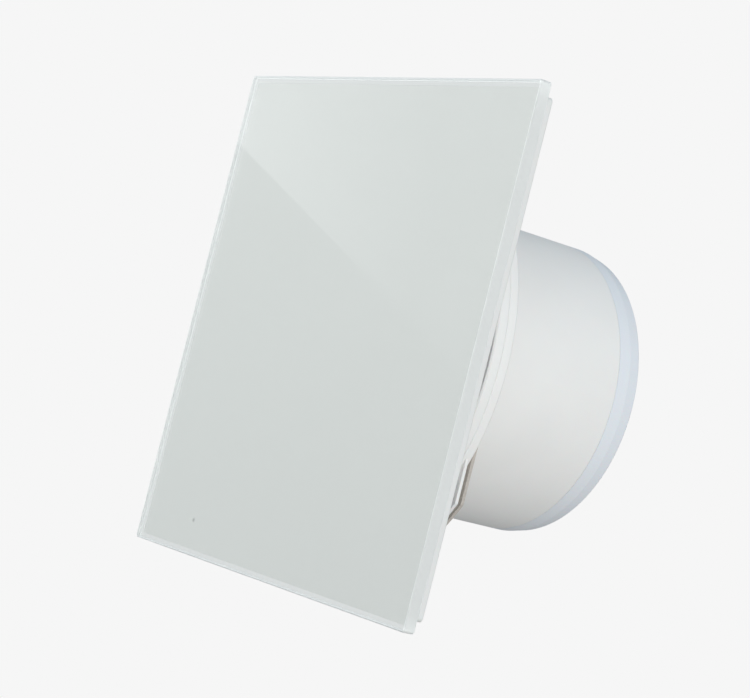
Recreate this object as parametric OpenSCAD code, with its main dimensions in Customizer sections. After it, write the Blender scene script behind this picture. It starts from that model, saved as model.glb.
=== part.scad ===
// Bathroom extractor fan with a square glass front panel and a round duct spigot.
// Millimetres. +Z is up, +Y runs into the wall along the duct, and the glass faces -Y.
// The origin is on the duct axis, at the wall face.

/* [Glass panel] */
// Side of the square glass
panel_side = 165; // [160:1:175]
// Thickness of the glass
glass_t = 4; // [3:0.5:5]
// How far the front of the glass stands out from the wall
panel_front = 25; // [24.5:0.5:30]
// Width of the ground bevel along the glass edges
arris = 0.6; // [0.3:0.1:1]
// Clear border round the white film
film_inset = 2; // [1:0.5:4]
// Step from the edge of the glass to the edge of the carrier
carrier_inset = 3.5; // [2.5:0.5:5]

/* [Base] */
// Diameter of the round base
ring_d = 138; // [136:1:142]
// Thickness of each of the two layers of the base
layer_t = 3.6; // [3.4:0.1:3.7]
// Side of the square that the corner ears reach to
ear_side = 125; // [123:1:127]
// Half the width that the two upper ears reach to
ear_top = 55.5; // [55:0.5:58]
// Diameter across the rounded ends of the ears
ear_d = 152; // [150:1:156]
// Distance between wall screws, centre to centre
screw_pitch = 98; // [97:0.5:99]
// Diameter of the wall screw holes
screw_hole_d = 4.5; // [4:0.1:5]
// Thickness of the foam gasket
gasket_t = 1.1; // [1:0.1:1.2]

/* [Duct spigot] */
// Outside diameter of the spigot
spigot_d = 98.5; // [98:0.5:99]
// Wall of the spigot
spigot_wall = 1.8; // [1.6:0.1:2]
// Where the white spigot ends and the shutter ring starts
spigot_end = 58; // [57:1:62]
// Length of the shutter ring that shows past the spigot
band_len = 9; // [8.5:0.5:10]

/* [Impeller] */
// Number of blades
blade_count = 7; // [5:1:9]
// Twist of a blade from front to back, in degrees
blade_twist = 28; // [15:1:32]
// Clearance between the blade tips and the spigot
tip_gap = 1.05; // [0.9:0.05:1.5]

/* [Hidden] */
$fn = 96;

// Panel stack, from the front of the glass towards the wall
film_t = 0.2;
tape_t = 0.3;
carrier_plate_t = 2;
carrier_t = 3.7;
glass_y = -panel_front;
film_y = glass_y + glass_t;
tape_y = film_y + film_t;
carrier_y = tape_y + tape_t;
carrier_back = carrier_y + carrier_t;
carrier_side = panel_side - 2 * carrier_inset;
pinhole = [-50, -71];
pinhole_r = 0.6;

// Snap posts between the carrier and the base
post_r = 3;
post_fit = 0.08;
post_x = 55.4;
post_z = 20.2;

// Base layers, from the wall towards the front
base_y = -gasket_t;
seam_y = base_y - layer_t;
ring_y = seam_y - layer_t;
ring_r = ring_d / 2;
ear_r = ear_d / 2;
ear_front = -3.4;
ear_rebate_t = 1.2;
ear_rebate = 2;
spigot_r = spigot_d / 2;
bore_r = spigot_r - spigot_wall;
flange_r = 51.8;
flange_t = 1.2;
flange_fit = 0.1;
collar_r = spigot_r + 1;
pocket_r = 4.8;
cut = 1;

// Screws that cut their own thread
pilot_r = 1.45;
ring_screw_r = 60;
ring_screw_angles = [0, 90, 180];
ring_head_depth = 1.6;

// Terminal compartment, a sector of the base below the duct
box_in = 52.4;
box_out = 67;
box_from = -128;
box_to = -76;
box_wall = 1.2;
box_wall_angle = 1.3;
box_front = -14;
box_mid = 59.4;
block_a = -114;
clamp_a = -94;
entry_a = -84;
cover_screw_a = -102.5;
boss_front = -12.6;
clamp_r = 59.7;
clamp_y = -9;
clamp_x = 4.3;
clamp_post_r = 1.5;
clamp_end_r = 1.6;
clamp_pilot_r = 1;
grommet_neck_r = 4.9;
grommet_bore_r = 3.2;

// Motor wires and the groove that they run in
wire_r = 0.65;
groove_from = -133.8;
groove_to = -129;
wire_notch_from = -134.5;
wire_notch_to = -125;
wire_notch_back = -1.4;
groove_depth = 1.2;
wire_turn = 4.2;

// Motor
motor_y = 34;
stack_t = 14;
stator_r = 22;
cup_in = 22.4;
cup_r = 24;
cup_y = 20.5;
cup_back = 49.5;
plate_t = 2;
pole_w = 7;
shoe_in = 9.3;
shoe_out = 11.5;
shoe_half = 34;
slot_from = 12.5;
slot_to = 15.5;
rotor_r = 9;
shaft_r = 2;
bearing_r = 6.5;
bearing_t = 5;
front_bearing_y = 16.6;
rear_bearing_y = 45.8;
boss_wall = 2;
lug_r = 26;
lug_round = 2.7;
lug_back = 32;
vane_t = 2;
vane_front = 26;
vane_len = 24;
diagonals = [45, 135, 225, 315];

// Impeller
hub_r = 24;
hub_y = -1;
hub_back = 16;
hub_wall = 1.6;
blade_t = 1.8;
blade_len = 14;
tip_r = bore_r - tip_gap;

// Back-draught shutter
ring_in = bore_r - 0.85;
ledge_r = ring_in - 1.4;
flap_r = ring_in - 0.5;
flap_y = spigot_end + 4.5;
flap_t = 0.8;
pin_r = 1;
pin_fit = 0.05;
pin_y = flap_y + 1.4;
pin_half = 46;
knuckle_r = 1.9;
knuckle_in = 5;
knuckle_mid = 14.8;
knuckle_end = 42.6;
lug_in = knuckle_end + 0.5;
flap_gap = 0.2;

// ---- Shared shapes ----

// A flat piece from its outline in X and Z, between two Y values
module slab(y0, y1) {
    translate([0, y1, 0])
        rotate([90, 0, 0])
            linear_extrude(y1 - y0)
                children();
}

// A turned piece from its profile in radius and Y
module spun() {
    rotate([-90, 0, 0])
        rotate_extrude()
            children();
}

// A round bar along Y
module bar_y(r, y0, y1, x = 0, z = 0) {
    translate([x, y0, z])
        rotate([-90, 0, 0])
            cylinder(r = r, h = y1 - y0);
}

// Turns children from +X towards +Z
module turned(a) {
    rotate([0, -a, 0])
        children();
}

// Moves children to a radius and an angle round the duct axis
module at_polar(r, a) {
    turned(a)
        translate([r, 0, 0])
            children();
}

// Outline of a square with rounded corners
module rounded_square(side, r) {
    square([side - 2 * r, side], center = true);
    square([side, side - 2 * r], center = true);
    for (sx = [-1, 1], sz = [-1, 1])
        translate([sx * (side / 2 - r), sz * (side / 2 - r)])
            circle(r);
}

// Outline of part of a ring between two angles
module sector(r0, r1, a0, a1) {
    far = 2 * r1;
    mid = (a0 + a1) / 2;
    intersection() {
        difference() {
            circle(r1);
            circle(r0);
        }
        polygon([
            [0, 0],
            far * [cos(a0), sin(a0)],
            far * [cos(mid), sin(mid)],
            far * [cos(a1), sin(a1)]
        ]);
    }
}

// Outline of the four corner ears, a square with a narrower upper half, cut by a circle
module ear_outline(inset) {
    low = ear_side / 2 - inset;
    high = ear_top - inset;
    intersection() {
        polygon([[-low, -low], [low, -low], [low, 0], [high, 0], [high, high], [-high, high], [-high, 0],
            [-low, 0]]);
        circle(ear_r - inset);
    }
}

// Copies children to the four wall screws
module at_wall_screws() {
    for (sx = [-1, 1], sz = [-1, 1])
        translate([sx * screw_pitch / 2, 0, sz * screw_pitch / 2])
            children();
}

// Copies children to the four snap posts
module at_posts() {
    for (sx = [-1, 1], sz = [-1, 1])
        translate([sx * post_x, 0, sz * post_z])
            children();
}

// Copies children to the screws that join the two layers of the base
module at_ring_screws() {
    for (a = ring_screw_angles)
        at_polar(ring_screw_r, a)
            children();
}

// Pan head screw with a cross slot, its head standing on Y = 0
module pan_screw(head_r, head_t, r, len) {
    slot_w = 0.6;
    difference() {
        bar_y(head_r, -head_t, 0);
        for (a = [0, 90])
            turned(a)
                translate([-0.6 * head_r, -head_t - cut, -slot_w / 2])
                    cube([1.2 * head_r, cut + 0.6 * head_t, slot_w]);
    }
    bar_y(r, 0, len);
}

// ---- Glass panel ----

// Clear glass with ground bevels on both faces
module glass_panel() {
    color([0.86, 0.9, 0.88])
        hull() {
            slab(glass_y + arris, film_y - arris)
                rounded_square(panel_side, 1.5, $fn = 32);
            slab(glass_y, film_y)
                rounded_square(panel_side - 2 * arris, 1.2, $fn = 32);
        }
}

// White film on the back of the glass, with one pinhole near its lower edge
module panel_film() {
    color([0.93, 0.94, 0.93])
        slab(film_y, tape_y)
            difference() {
                rounded_square(panel_side - 2 * film_inset, 1);
                translate(pinhole)
                    circle(pinhole_r);
            }
}

// Four strips of double-sided tape between the film and the carrier
module fixing_tape() {
    strip = 120;
    strip_w = 12;
    strip_at = 62;
    color([0.95, 0.95, 0.93])
        for (a = [0, 90, 180, 270])
            turned(a)
                translate([-strip / 2, tape_y, strip_at])
                    cube([strip, tape_t, strip_w]);
}

// Moulded carrier that the glass is stuck to, with a rim, ribs and four split snap posts
module panel_carrier() {
    rim_w = 2;
    rib_t = 1.6;
    rib_back = carrier_back - 0.3;
    plate_back = carrier_y + carrier_plate_t;
    post_tip = base_y - 1.4;
    reach = carrier_side / 2 - 1;
    slit = 1.2;
    color([0.95, 0.95, 0.94])
        difference() {
            union() {
                slab(carrier_y, plate_back)
                    rounded_square(carrier_side, 1.5);
                slab(plate_back, carrier_back)
                    difference() {
                        rounded_square(carrier_side, 1.5);
                        square(carrier_side - 2 * rim_w, center = true);
                    }
                for (s = [-1, 1]) {
                    translate([s * post_x - rib_t / 2, plate_back, -reach])
                        cube([rib_t, rib_back - plate_back, 2 * reach]);
                    translate([-reach, plate_back, s * post_z - rib_t / 2])
                        cube([2 * reach, rib_back - plate_back, rib_t]);
                }
                at_posts() {
                    bar_y(post_r + 2, plate_back, carrier_back + 3);
                    bar_y(post_r, plate_back, post_tip);
                }
            }
            at_posts()
                translate([-slit / 2, ring_y - 2, -2 * post_r])
                    cube([slit, 2 * layer_t + 4, 4 * post_r]);
        }
}

// ---- Base ----

// Front layer of the base: bell mouth, finger guard and sockets for the snap posts
module inlet_ring() {
    bell_r = layer_t;
    guard_y = ring_y + 0.2;
    spoke_w = 1.8;
    spoke_t = 2.6;
    web_y = guard_y + 0.3;
    web_t = 1.8;
    color([0.96, 0.96, 0.95])
        difference() {
            union() {
                spun() {
                    polygon([
                        [ring_r, seam_y], [ring_r, ring_y + 0.5], [ring_r - 0.5, ring_y],
                        [bore_r + bell_r, ring_y], [bore_r + bell_r, seam_y]
                    ]);
                    intersection() {
                        translate([bore_r + bell_r, seam_y])
                            circle(bell_r);
                        translate([bore_r, ring_y])
                            square([bell_r + 0.5, layer_t]);
                    }
                }
                for (i = [0:7])
                    turned(22.5 + 45 * i)
                        translate([12, guard_y, -spoke_w / 2])
                            cube([bore_r - 10, spoke_t, spoke_w]);
                slab(web_y, web_y + web_t)
                    difference() {
                        circle(31.8);
                        circle(30.2);
                    }
                slab(web_y, web_y + web_t)
                    circle(14);
            }
            at_posts()
                bar_y(post_r + post_fit, ring_y - cut, seam_y + cut);
            at_wall_screws()
                bar_y(pocket_r, ring_y - cut, seam_y + cut);
            at_ring_screws() {
                bar_y(pilot_r, ring_y - cut, seam_y + cut);
                bar_y(2.8, ring_y - cut, ring_y + ring_head_depth);
            }
            slab(ring_y - cut, seam_y + cut)
                sector(box_in - 0.2, box_out + 0.2, box_from - 0.3, box_to + 0.3);
            slab(ring_y - cut, seam_y + cut)
                sector(bore_r - 2, box_in + 1, groove_from, -121);
        }
}

// Three screws that hold the two layers of the base together
module ring_screws() {
    color([0.75, 0.76, 0.78])
        at_ring_screws()
            translate([0, ring_y + ring_head_depth, 0])
                pan_screw(2.7, 1.5, pilot_r, 5);
}

// Posts in the terminal compartment for the cable clamp and the cover screw
module compartment_posts() {
    at_polar(clamp_r, clamp_a)
        for (s = [-1, 1])
            bar_y(clamp_post_r, clamp_y, seam_y + cut, s * clamp_x);
    at_polar(box_mid, cover_screw_a)
        bar_y(2.6, boss_front, seam_y + cut);
}

// Rear layer of the base with its ears, and a seat for the flange of the spigot
module base_housing() {
    flange_y = seam_y + flange_t;
    color([0.97, 0.97, 0.96])
        difference() {
            union() {
                spun()
                    polygon([
                        [flange_r + flange_fit, seam_y], [ring_r - 0.3, seam_y],
                        [ring_r, seam_y + 0.3], [ring_r, base_y - 0.5], [ring_r - 0.5, base_y],
                        [collar_r, base_y], [collar_r, flange_y], [flange_r + flange_fit, flange_y]
                    ]);
                slab(ear_front, base_y - ear_rebate_t)
                    difference() {
                        ear_outline(0);
                        circle(collar_r);
                    }
                slab(base_y - ear_rebate_t, base_y)
                    difference() {
                        ear_outline(ear_rebate);
                        circle(collar_r);
                    }
                compartment_posts();
            }
            at_posts()
                bar_y(post_r + 0.4, seam_y - cut, base_y + cut);
            at_wall_screws() {
                bar_y(screw_hole_d / 2, seam_y - cut, cut);
                bar_y(pocket_r, seam_y - cut, ear_front);
            }
            at_ring_screws()
                bar_y(pilot_r, seam_y - cut, base_y + cut);
            at_polar(box_mid, entry_a)
                bar_y(grommet_neck_r, seam_y - cut, base_y + cut);
            at_polar(clamp_r, clamp_a)
                for (s = [-1, 1])
                    bar_y(clamp_pilot_r, clamp_y - cut, seam_y + 1, s * clamp_x);
            at_polar(box_mid, cover_screw_a)
                bar_y(pilot_r, boss_front - cut, seam_y + 1);
        }
}

// Spigot, with a front flange clamped between the two layers and a groove for the wires
module spigot_tube() {
    flange_y = seam_y + flange_t;
    color([0.97, 0.97, 0.96])
        difference() {
            spun()
                polygon([
                    [bore_r, seam_y], [flange_r, seam_y], [flange_r, flange_y],
                    [collar_r, flange_y], [collar_r, 0], [spigot_r, 0],
                    [spigot_r, spigot_end], [bore_r, spigot_end]
                ]);
            slab(seam_y - cut, 23)
                sector(bore_r - 2, bore_r + groove_depth, groove_from, groove_to);
            slab(seam_y - cut, wire_notch_back)
                sector(bore_r - 2, flange_r + 1, wire_notch_from, wire_notch_to);
        }
}

// Bars along Y at the four screws of the motor cover
module at_cover_lugs(r, y0, y1) {
    for (a = diagonals)
        turned(a)
            bar_y(r, y0, y1, lug_r);
}

// Four vanes that carry the motor cup inside the spigot
module support_vanes() {
    color([0.95, 0.95, 0.94])
        difference() {
            intersection() {
                for (a = diagonals)
                    turned(a)
                        translate([cup_r - 2, vane_front, -vane_t / 2])
                            cube([bore_r - cup_r + 4, vane_len, vane_t]);
                slab(vane_front - cut, vane_front + vane_len + cut)
                    difference() {
                        circle(bore_r);
                        circle(cup_r);
                    }
            }
            at_cover_lugs(lug_round, vane_front - cut, lug_back);
        }
}

// Motor cup with the seat of the rear bearing and four lugs for the cover's screws
module motor_cup() {
    boss_r = bearing_r + boss_wall;
    seat_y = rear_bearing_y - 1.3;
    seat_back = rear_bearing_y + bearing_t;
    color([0.95, 0.95, 0.94])
        difference() {
            union() {
                spun()
                    polygon([
                        [cup_in, cup_y], [cup_r, cup_y], [cup_r, cup_back], [boss_r, cup_back],
                        [boss_r, seat_back + 0.7], [0, seat_back + 0.7], [0, seat_back],
                        [bearing_r, seat_back], [bearing_r, seat_y], [boss_r, seat_y],
                        [boss_r, cup_back - plate_t], [cup_in, cup_back - plate_t]
                    ]);
                difference() {
                    at_cover_lugs(lug_round, cup_y, lug_back);
                    bar_y(cup_in, cup_y - cut, lug_back + cut);
                }
            }
            at_cover_lugs(pilot_r, cup_y - cut, 29);
            turned(-135)
                translate([cup_in - 2, 24.5, wire_turn])
                    rotate([0, 90, 0])
                        cylinder(r = 1.6, h = 5);
        }
}

// Foam gasket between the base and the wall
module wall_gasket() {
    color([0.72, 0.68, 0.62])
        slab(base_y, 0)
            difference() {
                union() {
                    ear_outline(0.2);
                    circle(66);
                }
                circle(collar_r + 0.3);
                for (sx = [-1, 1], sz = [-1, 1])
                    translate([sx * screw_pitch / 2, sz * screw_pitch / 2])
                        circle(2.6);
                rotate(entry_a)
                    translate([box_mid, 0])
                        circle(6.6);
            }
}

// ---- Terminal compartment ----

// Two pole terminal block with a screw well over each wire end
module terminal_block() {
    color([0.9, 0.9, 0.86])
        at_polar(box_mid, block_a)
            difference() {
                translate([-5.2, -11.9, -7])
                    cube([10.4, 7.2, 14]);
                for (s = [-1, 1]) {
                    translate([s * 2.6, -8, -8])
                        cylinder(r = 2, h = 16);
                    for (w = [-3.6, 3.6])
                        bar_y(1.6, -13, -8, s * 2.6, w);
                }
            }
}

// Brass tubes inside the terminal block
module terminal_tubes() {
    color([0.85, 0.68, 0.35])
        at_polar(box_mid, block_a)
            for (s = [-1, 1])
                difference() {
                    translate([s * 2.6, -8, -6.2])
                        cylinder(r = 1.95, h = 12.4);
                    translate([s * 2.6, -8, -7])
                        cylinder(r = 1.2, h = 14);
                    for (w = [-3.6, 3.6])
                        bar_y(1.25, -11, -8, s * 2.6, w);
                }
}

// Four small screws in the terminal block
module terminal_screws() {
    color([0.78, 0.78, 0.8])
        at_polar(box_mid, block_a)
            for (s = [-1, 1], w = [-3.6, 3.6])
                difference() {
                    bar_y(1.2, -11.2, -8.4, s * 2.6, w);
                    translate([s * 2.6 - 1.3, -12, w - 0.2])
                        cube([2.6, 1.4, 0.4]);
                }
}

// Cover over the terminal compartment, with a notch for the motor wires
module terminal_cover() {
    color([0.95, 0.95, 0.94])
        difference() {
            slab(box_front, seam_y)
                sector(box_in, box_out, box_from, box_to);
            slab(box_front + box_wall, seam_y + cut)
                sector(box_in + box_wall, box_out - box_wall,
                    box_from + box_wall_angle, box_to - box_wall_angle);
            slab(-9.4, seam_y + cut)
                sector(box_in - 2, box_in + 3, box_from - 1, -121);
            at_polar(box_mid, cover_screw_a)
                bar_y(pilot_r + 0.1, box_front - cut, box_front + 2 * box_wall);
        }
}

// Screw that holds the terminal cover
module cover_screw() {
    color([0.75, 0.76, 0.78])
        at_polar(box_mid, cover_screw_a)
            translate([0, box_front, 0])
                pan_screw(2.7, 1.3, pilot_r, 9);
}

// Rubber grommet where the supply cable comes in from the wall
module cable_grommet() {
    color([0.25, 0.25, 0.26])
        at_polar(box_mid, entry_a)
            spun()
                polygon([
                    [grommet_bore_r, -6], [5.5, -6], [5.7, -5.8], [5.7, seam_y],
                    [grommet_neck_r, seam_y], [grommet_neck_r, base_y], [6.4, base_y],
                    [6.4, 0], [grommet_bore_r, 0]
                ]);
}

// Bar that clamps the supply cable
module cable_clamp() {
    color([0.92, 0.92, 0.9])
        at_polar(clamp_r, clamp_a)
            slab(clamp_y - 2, clamp_y)
                difference() {
                    union() {
                        square([2 * clamp_x, 2 * clamp_end_r], center = true);
                        for (s = [-1, 1])
                            translate([s * clamp_x, 0])
                                circle(clamp_end_r);
                    }
                    for (s = [-1, 1])
                        translate([s * clamp_x, 0])
                            circle(clamp_pilot_r + 0.1);
                }
}

// Two screws of the cable clamp
module clamp_screws() {
    color([0.75, 0.76, 0.78])
        at_polar(clamp_r, clamp_a)
            for (s = [-1, 1])
                translate([s * clamp_x, clamp_y - 2, 0])
                    pan_screw(clamp_end_r, 1.2, clamp_pilot_r, 5.5);
}

// ---- Motor wires ----

function unit(v) = v / norm(v);
function polar(r, a, y) = [r * cos(a), y, r * sin(a)];

// A point beside the vane at the lower left, at a radius and a sideways offset
function beside_vane(r, off, y) =
    [r * cos(-135) - off * sin(-135), y, r * sin(-135) + off * cos(-135)];

// A point in the terminal block's own directions: radial, depth and along the wires
function at_block(u, y, w) = [
    (box_mid + u) * cos(block_a) - w * sin(block_a), y,
    (box_mid + u) * sin(block_a) + w * cos(block_a)
];

// Smooth curve through a list of points, n steps between each pair
function smooth_step(a, b, c, d, t) =
    0.5 * (2 * b + (c - a) * t + (2 * a - 5 * b + 4 * c - d) * t * t
        + (3 * b - a - 3 * c + d) * t * t * t);
function smooth(p, n) = concat(
    [for (i = [0:len(p) - 2], k = [0:n - 1])
        smooth_step(p[max(i - 1, 0)], p[i], p[i + 1], p[min(i + 2, len(p) - 1)], k / n)],
    [p[len(p) - 1]]
);

// Directions along a path, and a side direction carried along without twisting
function directions(p) =
    [for (i = [0:len(p) - 1]) unit(p[min(i + 1, len(p) - 1)] - p[max(i - 1, 0)])];
function carried(d, n, i = 0) =
    i == len(d) ? [] : let (m = unit(n - (n * d[i]) * d[i])) concat([m], carried(d, m, i + 1));

// A round tube along a path
module swept(p, r, sides = 8) {
    d = directions(p);
    first = abs(d[0][1]) < 0.9 ? [0, 1, 0] : [1, 0, 0];
    n = carried(d, first);
    count = len(p);
    points = [for (i = [0:count - 1], k = [0:sides - 1])
        p[i] + r * (cos(360 * k / sides) * n[i] + sin(360 * k / sides) * cross(d[i], n[i]))];
    walls = [for (i = [0:count - 2], k = [0:sides - 1]) let (m = (k + 1) % sides)
        [i * sides + k, (i + 1) * sides + k, (i + 1) * sides + m, i * sides + m]];
    start_cap = [for (k = [0:sides - 1]) k];
    end_cap = [for (k = [sides - 1:-1:0]) (count - 1) * sides + k];
    polyhedron(points, concat(walls, [start_cap, end_cap]));
}

// Wires from the terminal block, down the groove in the spigot and along a vane to the motor
live_route = [
    at_block(-2.6, -8, -7.2), at_block(-2.6, -8, -8.6), polar(53.4, -123.2, -7.4),
    polar(50.4, -127, -6.6), polar(47.95, -130.2, -3.6), polar(47.75, -130.6, 1),
    polar(47.75, -130.6, 10), polar(47.75, -130.6, 19.5), beside_vane(45.5, 3.8, 23.5),
    beside_vane(40, 4.2, 25), beside_vane(32, 4.8, 25), beside_vane(25, 4.95, 24.5),
    beside_vane(21, 5, 24.5), [-9.4, 24.5, -17.2], [-8.6, 24.5, -15.5]
];
neutral_route = [
    at_block(2.6, -8, -7.2), at_block(2.4, -8, -8.8), polar(57.6, -124.6, -8),
    polar(53.2, -125.8, -7.4), polar(50.4, -129, -6.6), polar(47.95, -132, -3.6),
    polar(47.75, -132.3, 1), polar(47.75, -132.3, 10), polar(47.75, -132.3, 19.5),
    beside_vane(45.5, 2.3, 23.5), beside_vane(40, 2.6, 25), beside_vane(32, 3.2, 25),
    beside_vane(25, 3.5, 24.5), beside_vane(21, 3.2, 24.5), [-15.4, 24.5, -12.6],
    [-16.4, 24.5, -9.4], [-15.5, 24.5, -8.6]
];

// Live wire
module live_wire() {
    color([0.45, 0.27, 0.16])
        swept(smooth(live_route, 3), wire_r);
}

// Neutral wire
module neutral_wire() {
    color([0.2, 0.35, 0.65])
        swept(smooth(neutral_route, 3), wire_r);
}

// ---- Motor ----

// Cover of the motor cup with the seat of the front bearing
module motor_cover() {
    cover_y = cup_y - plate_t;
    boss_r = bearing_r + boss_wall;
    seat = front_bearing_y - 0.1;
    color([0.9, 0.9, 0.9])
        difference() {
            union() {
                spun()
                    polygon([
                        [3, seat - 0.9], [boss_r, seat - 0.9], [boss_r, cover_y], [cup_r, cover_y],
                        [cup_r, cup_y], [cup_in - 0.1, cup_y], [cup_in - 0.1, cup_y + 1.4],
                        [cup_in - 1.4, cup_y + 1.4], [cup_in - 1.4, cup_y], [boss_r, cup_y],
                        [boss_r, 22.2], [bearing_r, 22.2], [bearing_r, seat], [3, seat]
                    ]);
                at_cover_lugs(lug_round, cover_y, cup_y);
                for (a = diagonals)
                    turned(a)
                        slab(cover_y, cup_y)
                            translate([cup_r - 2, -lug_round])
                                square([lug_r - cup_r + 2, 2 * lug_round]);
            }
            at_cover_lugs(pilot_r, cover_y - cut, cup_y + cut);
        }
}

// Four screws of the motor cover
module motor_cover_screws() {
    color([0.75, 0.76, 0.78])
        for (a = diagonals)
            turned(a)
                translate([lug_r, cup_y - plate_t, 0])
                    pan_screw(2.3, 1.5, pilot_r, 8);
}

// Laminated stator with four poles, each slotted for its shading loop
module stator_core() {
    color([0.42, 0.43, 0.45])
        slab(motor_y - stack_t / 2, motor_y + stack_t / 2)
            difference() {
                union() {
                    difference() {
                        circle(stator_r);
                        intersection() {
                            square(35, center = true);
                            circle(20.4);
                        }
                    }
                    for (a = [0, 90, 180, 270]) {
                        rotate(a)
                            translate([shoe_in + 1.2, -pole_w / 2])
                                square([19 - shoe_in - 1.2, pole_w]);
                        sector(shoe_in, shoe_out, a - shoe_half, a + shoe_half);
                    }
                }
                for (a = [0, 90, 180, 270])
                    sector(shoe_in - 0.5, shoe_in + 1.5, a + slot_from, a + slot_to);
            }
}

// Copper shading loops round one side of each pole
module shading_loops() {
    loop_in = shoe_in + 0.1;
    loop_out = shoe_in + 1.4;
    first = slot_from + 0.2;
    last = shoe_half + 4;
    leg = 2.6;
    front = motor_y - stack_t / 2;
    back = motor_y + stack_t / 2;
    color([0.72, 0.45, 0.28])
        for (a = [0, 90, 180, 270]) {
            slab(front - 1, front)
                sector(loop_in, loop_out, a + first, a + last);
            slab(back, back + 1)
                sector(loop_in, loop_out, a + first, a + last);
            slab(front, back) {
                sector(loop_in, loop_out, a + first, a + first + leg);
                sector(loop_in, loop_out, a + last - leg, a + last);
            }
        }
}

// A block round one pole, from its outline across the pole
module round_pole(x0, x1) {
    translate([x0, motor_y, 0])
        rotate([0, 90, 0])
            linear_extrude(x1 - x0)
                children();
}

// Outline of a rectangle with round corners, across a pole
module soft_rectangle(w, h, r) {
    square([w - 2 * r, h], center = true);
    square([w, h - 2 * r], center = true);
    for (sx = [-1, 1], sy = [-1, 1])
        translate([sx * (w / 2 - r), sy * (h / 2 - r)])
            circle(r, $fn = 32);
}

// Four bobbins, one on each pole
module coil_bobbins() {
    color([0.88, 0.86, 0.8])
        for (a = [0, 90, 180, 270])
            turned(a)
                difference() {
                    union() {
                        round_pole(11.8, 17.3)
                            square([8.8, 15.8], center = true);
                        for (x = [11.8, 16.6])
                            round_pole(x, x + 0.7)
                                square([15.4, 22.6], center = true);
                    }
                    round_pole(11, 18)
                        square([pole_w + 0.1, stack_t + 0.1], center = true);
                }
}

// Four windings of enamelled wire
module coil_windings() {
    color([0.75, 0.38, 0.2])
        for (a = [0, 90, 180, 270])
            turned(a)
                round_pole(12.55, 16.55)
                    difference() {
                        soft_rectangle(14.6, 21.8, 2);
                        square([8.84, 15.84], center = true);
                    }
}

// Ball bearing with two races and its balls, standing on Y = 0
module ball_bearing() {
    ball_r = 1.2;
    ball_at = 4.25;
    groove_r = ball_r + 0.03;
    bore = shaft_r + 0.03;
    difference() {
        spun() {
            polygon([[5.1, 0], [bearing_r, 0], [bearing_r, bearing_t], [5.1, bearing_t]]);
            polygon([[bore, 0], [3.4, 0], [3.4, bearing_t], [bore, bearing_t]]);
        }
        spun()
            translate([ball_at, bearing_t / 2])
                circle(groove_r, $fn = 48);
    }
    for (i = [0:6])
        turned(360 * i / 7)
            translate([ball_at, bearing_t / 2, 0])
                sphere(ball_r, $fn = 48);
}

// Front bearing
module front_bearing() {
    color([0.8, 0.81, 0.83])
        translate([0, front_bearing_y, 0])
            ball_bearing();
}

// Rear bearing
module rear_bearing() {
    color([0.8, 0.81, 0.83])
        translate([0, rear_bearing_y, 0])
            ball_bearing();
}

// Shaft from the impeller to the rear bearing
module motor_shaft() {
    color([0.8, 0.81, 0.83])
        spun()
            polygon([
                [0, -3.2], [shaft_r - 0.4, -3.2], [shaft_r, -2.8], [shaft_r, 50.1],
                [shaft_r - 0.4, 50.5], [0, 50.5]
            ]);
}

// Rotor laminations
module rotor_core() {
    half = stack_t / 2 + 1;
    color([0.5, 0.51, 0.53])
        slab(motor_y - half, motor_y + half)
            difference() {
                circle(rotor_r);
                circle(shaft_r);
            }
}

// Cast end rings of the rotor
module rotor_cage() {
    half = stack_t / 2 + 1;
    color([0.78, 0.79, 0.8])
        for (y = [motor_y - half - 1.2, motor_y + half])
            slab(y, y + 1.2)
                difference() {
                    circle(rotor_r - 0.4);
                    circle(3.6);
                }
}

// Two spacers on the shaft, between the rotor and the bearings
module shaft_spacers() {
    front_y = front_bearing_y + bearing_t + 0.1;
    half = stack_t / 2 + 1;
    color([0.85, 0.7, 0.4]) {
        slab(front_y, motor_y - half)
            difference() {
                circle(3.2);
                circle(shaft_r);
            }
        slab(motor_y + half, rear_bearing_y - 0.1)
            difference() {
                circle(3.2);
                circle(shaft_r);
            }
    }
}

// ---- Impeller ----

// Impeller with a bell shaped hub and twisted blades
module impeller() {
    round_r = 4;
    color([0.93, 0.94, 0.95]) {
        spun()
            polygon(concat(
                [[shaft_r, hub_y]],
                [for (a = [90:-15:0])
                    [hub_r - round_r + round_r * cos(a), hub_y + round_r - round_r * sin(a)]],
                [[hub_r, hub_back], [hub_r - hub_wall, hub_back], [hub_r - hub_wall, 3],
                    [hub_r - 4, 0.8], [5, 0.8], [5, 13.5], [shaft_r, 13.5]]
            ));
        for (i = [0:blade_count - 1])
            turned(360 * i / blade_count)
                translate([0, 1.2, 0])
                    rotate([-90, 0, 0])
                        linear_extrude(blade_len, twist = blade_twist, slices = 10, $fn = 12)
                            translate([hub_r - 1, -blade_t / 2])
                                square([tip_r - hub_r + 0.95, blade_t]);
    }
}

// Push-on clip that keeps the impeller on the shaft
module hub_clip() {
    color([0.7, 0.71, 0.73])
        slab(hub_y - 0.8, hub_y)
            difference() {
                circle(4.2);
                circle(shaft_r);
                for (a = [0, 120, 240])
                    rotate(a)
                        translate([shaft_r - 0.5, -0.4])
                            square([1.8, 0.8]);
            }
}

// ---- Back-draught shutter ----

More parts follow.
